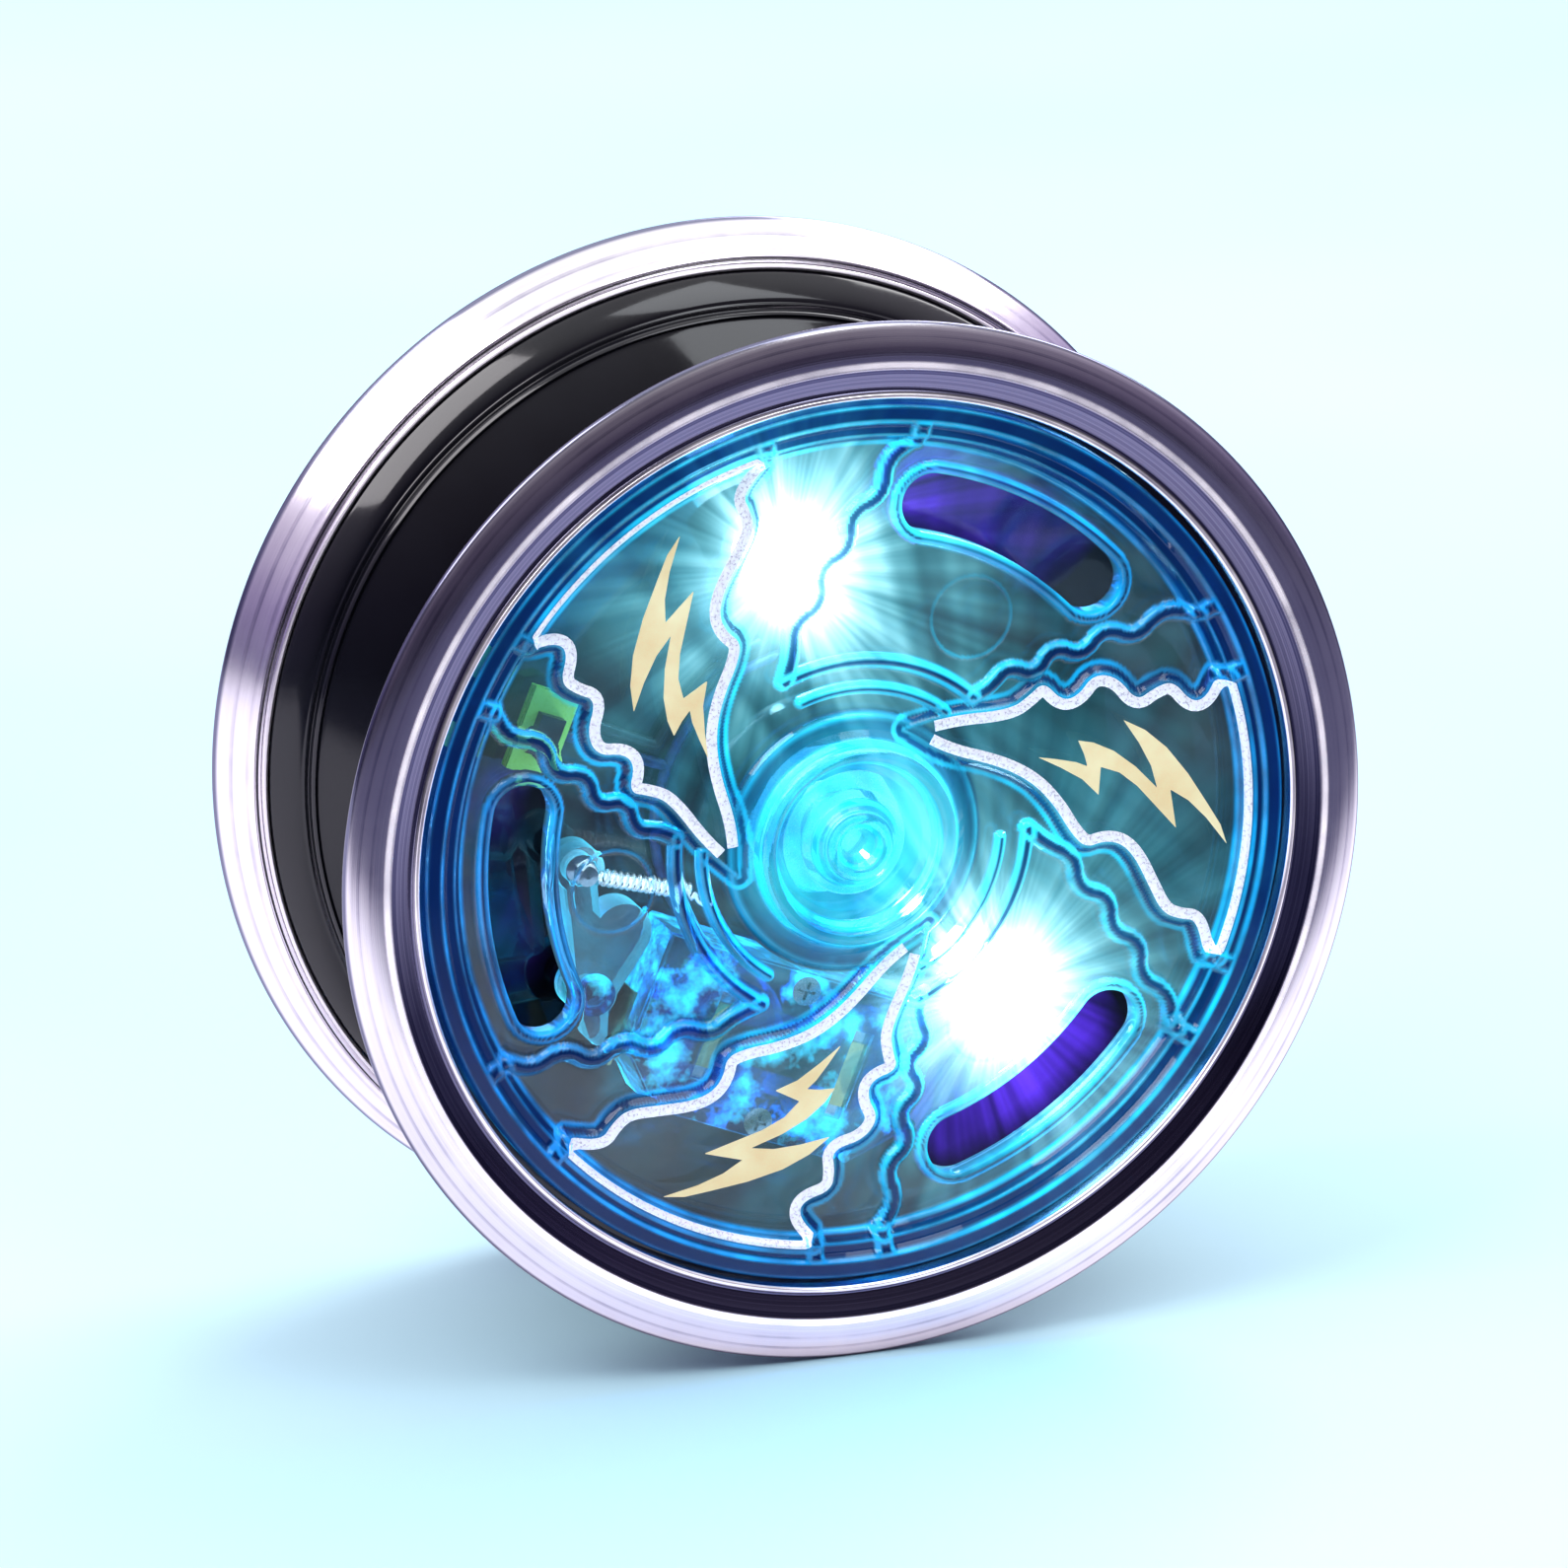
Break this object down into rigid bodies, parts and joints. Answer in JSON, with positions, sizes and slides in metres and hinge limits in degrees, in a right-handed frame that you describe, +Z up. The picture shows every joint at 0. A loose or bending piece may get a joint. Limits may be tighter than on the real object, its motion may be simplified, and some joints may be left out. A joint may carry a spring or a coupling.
{
  "type": "light-up yo-yo",
  "caption": "Light-up yo-yo with polished metal rims, glossy black flared halves, clear blue swirl caps over glowing lamps and a ball bearing axle.",
  "frame": {"origin": "centre of the ball bearing, on the axle, in the middle of the string gap", "axes": "+Y along the axle towards the rear half, +Z up, -Y out of the front cap; the toy stands on its two rims"},
  "size_m": [0.057, 0.0244, 0.057],
  "materials": {
    "axle_steel": "zinc plated",
    "bearing_steel": "ground and polished",
    "brass": "turned",
    "dish_black": "high gloss black",
    "rim_metal": "machined and polished",
    "pad_silicone": "matt",
    "cap_blue": "clear blue, glossy",
    "module_blue": "clear blue",
    "cell_steel": "nickel plated",
    "contact_gold": "gold plated",
    "board_green": "solder mask",
    "chip_black": "moulded",
    "lamp_epoxy": "water-clear epoxy",
    "wire_blue": "dark blue pvc",
    "wire_black": "pvc",
    "arm_clear": "clear",
    "spring_steel": "bright drawn wire"
  },
  "bodies": {
    "yoyo": {"axle": "axle_steel", "bearing_inner_ring": "bearing_steel", "front_dish": "dish_black", "front_rim_ring": "rim_metal", "front_response_pad": "pad_silicone", "front_axle_spacer": "brass", "front_axle_nut": "axle_steel", "front_cap": "cap_blue", "front_module_case": "module_blue", "front_module_cover": "module_blue", "front_module_screws": "axle_steel", "front_button_cells": "cell_steel", "front_cell_bridge": "contact_gold", "front_contact_blade": "contact_gold", "front_driver_board": "board_green", "front_driver_chip": "chip_black", "front_upper_lamp": "lamp_epoxy", "front_lower_lamp": "lamp_epoxy", "front_positive_wires": "wire_blue", "front_negative_wires": "wire_black", "front_arm_pin": "module_blue", "front_switch_spring": "spring_steel", "rear_dish": "dish_black", "rear_rim_ring": "rim_metal", "rear_response_pad": "pad_silicone", "rear_axle_spacer": "brass", "rear_axle_nut": "axle_steel", "rear_cap": "cap_blue", "rear_module_case": "module_blue", "rear_module_cover": "module_blue", "rear_module_screws": "axle_steel", "rear_button_cells": "cell_steel", "rear_cell_bridge": "contact_gold", "rear_contact_blade": "contact_gold", "rear_driver_board": "board_green", "rear_driver_chip": "chip_black", "rear_upper_lamp": "lamp_epoxy", "rear_lower_lamp": "lamp_epoxy", "rear_positive_wires": "wire_blue", "rear_negative_wires": "wire_black", "rear_arm_pin": "module_blue", "rear_switch_spring": "spring_steel"},
    "front_arm": {"front_switch_arm": "arm_clear", "front_arm_weight": "bearing_steel"},
    "rear_arm": {"rear_switch_arm": "arm_clear", "rear_arm_weight": "bearing_steel"},
    "bearing_outer": {"bearing_outer_ring": "bearing_steel", "bearing_shields": "bearing_steel"},
    "bearing_balls_and_cage": {"bearing_balls": "bearing_steel", "bearing_cage": "brass"}
  },
  "joints": [
    {"name": "bearing_spin", "type": "hinge", "parent": "yoyo", "child": "bearing_outer", "pos_m": [0, 0, 0], "axis": [0, 1, 0], "continuous": true},
    {"name": "cage_spin", "type": "hinge", "parent": "yoyo", "child": "bearing_balls_and_cage", "pos_m": [0, 0, 0], "axis": [0, 1, 0], "continuous": true},
    {"name": "front_arm_swing", "type": "hinge", "parent": "yoyo", "child": "front_arm", "pos_m": [-0.0136, -0.0066, -0.0078], "axis": [0, -1, 0], "range_deg": [0, 12], "stiffness_Nm_per_rad": 0.0002, "springref_deg": -20.05, "deforming": ["front_switch_spring"]},
    {"name": "rear_arm_swing", "type": "hinge", "parent": "yoyo", "child": "rear_arm", "pos_m": [0.0136, 0.0066, -0.0078], "axis": [0, 1, 0], "range_deg": [0, 12], "stiffness_Nm_per_rad": 0.0002, "springref_deg": -20.05, "deforming": ["rear_switch_spring"]}
  ],
  "couplings": [
    {"joint": "cage_spin", "follows": "bearing_spin", "ratio": 0.5833}
  ]
}
